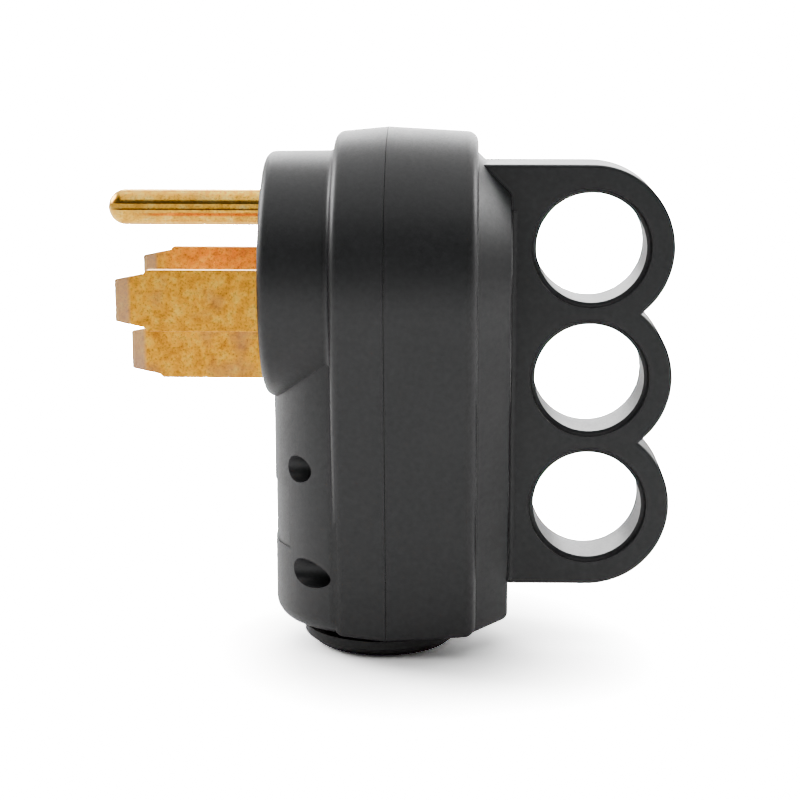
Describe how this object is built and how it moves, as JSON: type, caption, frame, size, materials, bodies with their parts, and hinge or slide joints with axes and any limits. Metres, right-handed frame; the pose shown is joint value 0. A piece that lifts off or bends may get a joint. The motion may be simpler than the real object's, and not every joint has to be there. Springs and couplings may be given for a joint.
{
  "type": "four-prong power plug",
  "caption": "Right-angle power plug with flat blades, a round ground pin, a screwed two-part housing, a cord gland and a ringed pull handle.",
  "frame": {"origin": "centre of the round mating face, level with the plane that meets the socket", "axes": "-X out of the mating face along the prongs, +X towards the pull handle, -Z along the cord as it leaves, +Y across the plug"},
  "size_m": [0.1117, 0.0584, 0.1041],
  "materials": {
    "housing": "fine moulded grain, satin",
    "gland_rubber": "matt",
    "blade_brass": "rolled strip, tarnished in patches",
    "pin_brass": "polished, folded strip",
    "retainer_plastic": "moulded, matt",
    "saddle_plastic": "moulded, matt",
    "clamp_brass": "stamped",
    "brass_screw": "turned",
    "plated_screw": "bright zinc plate",
    "green_screw": "green dyed plate",
    "strap_steel": "zinc plated strip",
    "insert_brass": "turned",
    "washer_steel": "spring steel",
    "steel_screw": "zinc plated"
  },
  "bodies": {
    "front": {"front_housing": "housing", "hot_blade_near": "blade_brass", "hot_blade_far": "blade_brass", "neutral_blade": "blade_brass", "ground_pin": "pin_brass", "contact_retainer": "retainer_plastic", "retainer_screws": "steel_screw", "cord_saddle": "saddle_plastic", "cord_gland": "gland_rubber"},
    "cover": {"rear_cover": "housing", "pull_handle": "housing", "threaded_inserts": "insert_brass"},
    "near_hot_clamp": {"near_hot_clamp": "clamp_brass"},
    "far_hot_clamp": {"far_hot_clamp": "clamp_brass"},
    "neutral_clamp": {"neutral_clamp": "clamp_brass"},
    "ground_clamp": {"ground_clamp": "clamp_brass"},
    "near_hot_screw": {"near_hot_screw": "brass_screw"},
    "far_hot_screw": {"far_hot_screw": "brass_screw"},
    "neutral_screw": {"neutral_screw": "plated_screw"},
    "ground_screw": {"ground_screw": "green_screw"},
    "strap": {"cord_strap": "strap_steel"},
    "strap_screw_near": {"strap_screw_near": "steel_screw"},
    "strap_screw_far": {"strap_screw_far": "steel_screw"},
    "upper_screw_near": {"upper_screw_near": "steel_screw"},
    "upper_washer_near": {"upper_washer_near": "washer_steel"},
    "upper_screw_far": {"upper_screw_far": "steel_screw"},
    "upper_washer_far": {"upper_washer_far": "washer_steel"},
    "lower_screw_near": {"lower_screw_near": "steel_screw"},
    "lower_washer_near": {"lower_washer_near": "washer_steel"},
    "lower_screw_far": {"lower_screw_far": "steel_screw"},
    "lower_washer_far": {"lower_washer_far": "washer_steel"}
  },
  "joints": [
    {"name": "cover_lift_off", "type": "slide", "parent": "front", "child": "cover", "axis": [1, 0, 0], "range_m": [0, 0.06]},
    {"name": "near_hot_clamp_travel", "type": "slide", "parent": "front", "child": "near_hot_clamp", "axis": [1, 0, 0], "range_m": [0, 0.0045]},
    {"name": "near_hot_screw_turn", "type": "hinge", "parent": "near_hot_clamp", "child": "near_hot_screw", "pos_m": [0.0205, -0.01265, -0.0027], "axis": [1, 0, 0], "range_deg": [0, 2040]},
    {"name": "far_hot_clamp_travel", "type": "slide", "parent": "front", "child": "far_hot_clamp", "axis": [1, 0, 0], "range_m": [0, 0.0045]},
    {"name": "far_hot_screw_turn", "type": "hinge", "parent": "far_hot_clamp", "child": "far_hot_screw", "pos_m": [0.0205, 0.01265, -0.0027], "axis": [1, 0, 0], "range_deg": [0, 2040]},
    {"name": "neutral_clamp_travel", "type": "slide", "parent": "front", "child": "neutral_clamp", "axis": [1, 0, 0], "range_m": [0, 0.0045]},
    {"name": "neutral_screw_turn", "type": "hinge", "parent": "neutral_clamp", "child": "neutral_screw", "pos_m": [0.0205, 0.00505, -0.0175], "axis": [1, 0, 0], "range_deg": [0, 2040]},
    {"name": "ground_clamp_travel", "type": "slide", "parent": "front", "child": "ground_clamp", "axis": [1, 0, 0], "range_m": [0, 0.0045]},
    {"name": "ground_screw_turn", "type": "hinge", "parent": "ground_clamp", "child": "ground_screw", "pos_m": [0.0205, 0, 0.014], "axis": [1, 0, 0], "range_deg": [0, 2040]},
    {"name": "strap_travel", "type": "slide", "parent": "front", "child": "strap", "axis": [1, 0, 0], "range_m": [-0.002, 0.003]},
    {"name": "strap_screw_near_turn", "type": "hinge", "parent": "strap", "child": "strap_screw_near", "pos_m": [0.03, -0.0144, -0.047], "axis": [1, 0, 0], "range_deg": [-1040, 1560]},
    {"name": "strap_screw_far_turn", "type": "hinge", "parent": "strap", "child": "strap_screw_far", "pos_m": [0.03, 0.0144, -0.047], "axis": [1, 0, 0], "range_deg": [-1040, 1560]},
    {"name": "upper_near_washer_travel", "type": "slide", "parent": "front", "child": "upper_washer_near", "axis": [-1, 0, 0], "range_m": [0, 0.0095]},
    {"name": "upper_near_screw_turn", "type": "hinge", "parent": "upper_washer_near", "child": "upper_screw_near", "pos_m": [0.0156, -0.0148, -0.0364], "axis": [-1, 0, 0], "range_deg": [0, 4900]},
    {"name": "upper_far_washer_travel", "type": "slide", "parent": "front", "child": "upper_washer_far", "axis": [-1, 0, 0], "range_m": [0, 0.0095]},
    {"name": "upper_far_screw_turn", "type": "hinge", "parent": "upper_washer_far", "child": "upper_screw_far", "pos_m": [0.0156, 0.0148, -0.0364], "axis": [-1, 0, 0], "range_deg": [0, 4900]},
    {"name": "lower_near_washer_travel", "type": "slide", "parent": "front", "child": "lower_washer_near", "axis": [-1, 0, 0], "range_m": [0, 0.0095]},
    {"name": "lower_near_screw_turn", "type": "hinge", "parent": "lower_washer_near", "child": "lower_screw_near", "pos_m": [0.0166, -0.0154, -0.0574], "axis": [-1, 0, 0], "range_deg": [0, 4900]},
    {"name": "lower_far_washer_travel", "type": "slide", "parent": "front", "child": "lower_washer_far", "axis": [-1, 0, 0], "range_m": [0, 0.0095]},
    {"name": "lower_far_screw_turn", "type": "hinge", "parent": "lower_washer_far", "child": "lower_screw_far", "pos_m": [0.0166, 0.0154, -0.0574], "axis": [-1, 0, 0], "range_deg": [0, 4900]}
  ],
  "couplings": [
    {"joint": "near_hot_screw_turn", "follows": "near_hot_clamp_travel", "rad_per_m": 7854},
    {"joint": "far_hot_screw_turn", "follows": "far_hot_clamp_travel", "rad_per_m": 7854},
    {"joint": "neutral_screw_turn", "follows": "neutral_clamp_travel", "rad_per_m": 7854},
    {"joint": "ground_screw_turn", "follows": "ground_clamp_travel", "rad_per_m": 7854},
    {"joint": "strap_screw_near_turn", "follows": "strap_travel", "rad_per_m": 8976},
    {"joint": "strap_screw_far_turn", "follows": "strap_travel", "rad_per_m": 8976},
    {"joint": "upper_near_screw_turn", "follows": "upper_near_washer_travel", "rad_per_m": 8976},
    {"joint": "upper_far_screw_turn", "follows": "upper_far_washer_travel", "rad_per_m": 8976},
    {"joint": "lower_near_screw_turn", "follows": "lower_near_washer_travel", "rad_per_m": 8976},
    {"joint": "lower_far_screw_turn", "follows": "lower_far_washer_travel", "rad_per_m": 8976}
  ]
}
